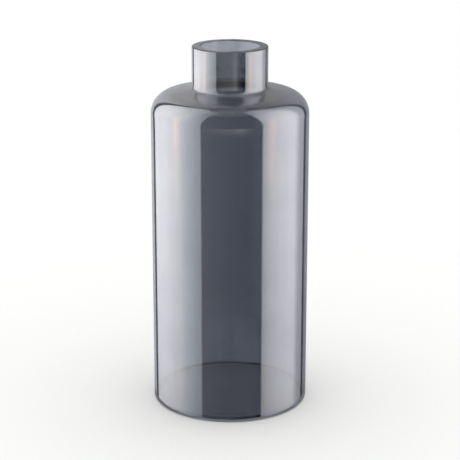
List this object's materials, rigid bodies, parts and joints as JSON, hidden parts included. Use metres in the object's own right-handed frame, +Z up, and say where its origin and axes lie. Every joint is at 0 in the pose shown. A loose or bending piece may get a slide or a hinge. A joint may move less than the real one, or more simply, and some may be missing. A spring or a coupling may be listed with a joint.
{
  "type": "bottle vase",
  "caption": "Tall straight-sided bottle vase in clear glass with a smoky blue-grey metallic lustre, a rounded shoulder and a short thick neck, for stems and branches.",
  "frame": {"origin": "on the vase's axis, in the plane that its foot stands on", "axes": "+Z up the axis, from the foot to the mouth; the vase is turned, so X and Y are alike"},
  "size_m": [0.1204, 0.1204, 0.28],
  "materials": {
    "clear_glass": "polished",
    "grey_lustre": "polished"
  },
  "bodies": {
    "root": {"glass_vessel": "clear_glass", "lustre_film": "grey_lustre"}
  },
  "joints": []
}
